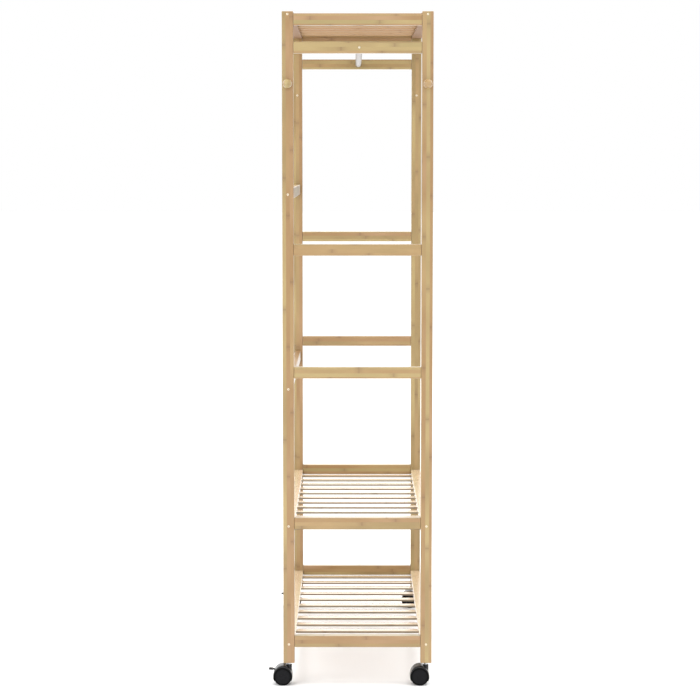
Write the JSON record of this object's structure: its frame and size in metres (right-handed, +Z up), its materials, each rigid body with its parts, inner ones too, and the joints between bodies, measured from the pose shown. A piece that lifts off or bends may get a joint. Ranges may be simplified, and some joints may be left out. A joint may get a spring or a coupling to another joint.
{
  "type": "rolling utility cart",
  "caption": "Tall narrow bamboo rolling rack with slatted shelves, a hanging rod, coat pegs and hooded twin-wheel casters, some with brake levers.",
  "frame": {"origin": "on the floor under the middle of the whole outline, pegs, casters and brake levers included", "axes": "+Z up; +Y along the rack from its left end frame to its right one; +X to the front, away from the two back rails and the brake levers"},
  "size_m": [0.365, 0.852, 1.4982],
  "materials": {
    "bamboo": "clear satin lacquer",
    "slat_bamboo": "clear satin lacquer",
    "rod_metal": "satin",
    "steel": "zinc plated",
    "plug_plastic": "moulded",
    "black_nylon": "moulded, slightly glossy",
    "wheel_nylon": "moulded"
  },
  "bodies": {
    "frame": {"post_front_left": "bamboo", "post_back_left": "bamboo", "post_front_right": "bamboo", "post_back_right": "bamboo", "left_apron": "bamboo", "left_rod_rung": "bamboo", "left_upper_tie": "bamboo", "left_lower_tie": "bamboo", "left_upper_shelf_rung": "bamboo", "left_lower_shelf_rung": "bamboo", "right_apron": "bamboo", "right_rod_rung": "bamboo", "right_upper_tie": "bamboo", "right_lower_tie": "bamboo", "right_upper_shelf_rung": "bamboo", "right_lower_shelf_rung": "bamboo", "top_rail_front": "bamboo", "upper_shelf_rail_front": "bamboo", "lower_shelf_rail_front": "bamboo", "top_rail_back": "bamboo", "upper_shelf_rail_back": "bamboo", "lower_shelf_rail_back": "bamboo", "back_rail_upper": "bamboo", "back_rail_lower": "bamboo", "top_shelf_slats": "slat_bamboo", "upper_shelf_slats": "slat_bamboo", "lower_shelf_slats": "slat_bamboo", "hanging_rod": "rod_metal", "rod_plug_left": "plug_plastic", "rod_screw_left": "steel", "rod_plug_right": "plug_plastic", "rod_screw_right": "steel", "peg_front_left": "bamboo", "peg_back_left": "bamboo", "peg_front_right": "bamboo", "peg_back_right": "bamboo", "caster_front_left_stem": "steel", "caster_back_left_stem": "steel", "caster_front_right_stem": "steel", "caster_back_right_stem": "steel"},
    "caster_front_left": {"caster_front_left_hood": "black_nylon", "caster_front_left_axle": "steel"},
    "caster_front_left_wheel_left_turning": {"caster_front_left_wheel_left": "wheel_nylon"},
    "caster_front_left_wheel_right_turning": {"caster_front_left_wheel_right": "wheel_nylon"},
    "caster_back_left": {"caster_back_left_hood": "black_nylon", "caster_back_left_axle": "steel", "brake_pin_left": "steel"},
    "caster_back_left_wheel_left_turning": {"caster_back_left_wheel_left": "wheel_nylon"},
    "caster_back_left_wheel_right_turning": {"caster_back_left_wheel_right": "wheel_nylon"},
    "brake_left": {"brake_lever_left": "black_nylon"},
    "caster_front_right": {"caster_front_right_hood": "black_nylon", "caster_front_right_axle": "steel"},
    "caster_front_right_wheel_left_turning": {"caster_front_right_wheel_left": "wheel_nylon"},
    "caster_front_right_wheel_right_turning": {"caster_front_right_wheel_right": "wheel_nylon"},
    "caster_back_right": {"caster_back_right_hood": "black_nylon", "caster_back_right_axle": "steel", "brake_pin_right": "steel"},
    "caster_back_right_wheel_left_turning": {"caster_back_right_wheel_left": "wheel_nylon"},
    "caster_back_right_wheel_right_turning": {"caster_back_right_wheel_right": "wheel_nylon"},
    "brake_right": {"brake_lever_right": "black_nylon"}
  },
  "joints": [
    {"name": "caster_front_left_swivel", "type": "hinge", "parent": "frame", "child": "caster_front_left", "pos_m": [0.17, -0.39, 0.0455], "axis": [0, 0, 1], "continuous": true},
    {"name": "caster_front_left_wheel_left_spin", "type": "hinge", "parent": "caster_front_left", "child": "caster_front_left_wheel_left_turning", "pos_m": [0.156, -0.4018, 0.02], "axis": [0, 1, 0], "continuous": true},
    {"name": "caster_front_left_wheel_right_spin", "type": "hinge", "parent": "caster_front_left", "child": "caster_front_left_wheel_right_turning", "pos_m": [0.156, -0.3782, 0.02], "axis": [0, 1, 0], "continuous": true},
    {"name": "caster_back_left_swivel", "type": "hinge", "parent": "frame", "child": "caster_back_left", "pos_m": [-0.137, -0.39, 0.0455], "axis": [0, 0, 1], "continuous": true},
    {"name": "caster_back_left_wheel_left_spin", "type": "hinge", "parent": "caster_back_left", "child": "caster_back_left_wheel_left_turning", "pos_m": [-0.151, -0.4018, 0.02], "axis": [0, 1, 0], "continuous": true},
    {"name": "caster_back_left_wheel_right_spin", "type": "hinge", "parent": "caster_back_left", "child": "caster_back_left_wheel_right_turning", "pos_m": [-0.151, -0.3782, 0.02], "axis": [0, 1, 0], "continuous": true},
    {"name": "brake_left_press", "type": "hinge", "parent": "caster_back_left", "child": "brake_left", "pos_m": [-0.16401, -0.39, 0.03301], "axis": [0, -1, 0], "range_deg": [0, 12]},
    {"name": "caster_front_right_swivel", "type": "hinge", "parent": "frame", "child": "caster_front_right", "pos_m": [0.17, 0.39, 0.0455], "axis": [0, 0, 1], "continuous": true},
    {"name": "caster_front_right_wheel_left_spin", "type": "hinge", "parent": "caster_front_right", "child": "caster_front_right_wheel_left_turning", "pos_m": [0.156, 0.3782, 0.02], "axis": [0, 1, 0], "continuous": true},
    {"name": "caster_front_right_wheel_right_spin", "type": "hinge", "parent": "caster_front_right", "child": "caster_front_right_wheel_right_turning", "pos_m": [0.156, 0.4018, 0.02], "axis": [0, 1, 0], "continuous": true},
    {"name": "caster_back_right_swivel", "type": "hinge", "parent": "frame", "child": "caster_back_right", "pos_m": [-0.137, 0.39, 0.0455], "axis": [0, 0, 1], "continuous": true},
    {"name": "caster_back_right_wheel_left_spin", "type": "hinge", "parent": "caster_back_right", "child": "caster_back_right_wheel_left_turning", "pos_m": [-0.151, 0.3782, 0.02], "axis": [0, 1, 0], "continuous": true},
    {"name": "caster_back_right_wheel_right_spin", "type": "hinge", "parent": "caster_back_right", "child": "caster_back_right_wheel_right_turning", "pos_m": [-0.151, 0.4018, 0.02], "axis": [0, 1, 0], "continuous": true},
    {"name": "brake_right_press", "type": "hinge", "parent": "caster_back_right", "child": "brake_right", "pos_m": [-0.16401, 0.39, 0.03301], "axis": [0, -1, 0], "range_deg": [0, 12]}
  ]
}
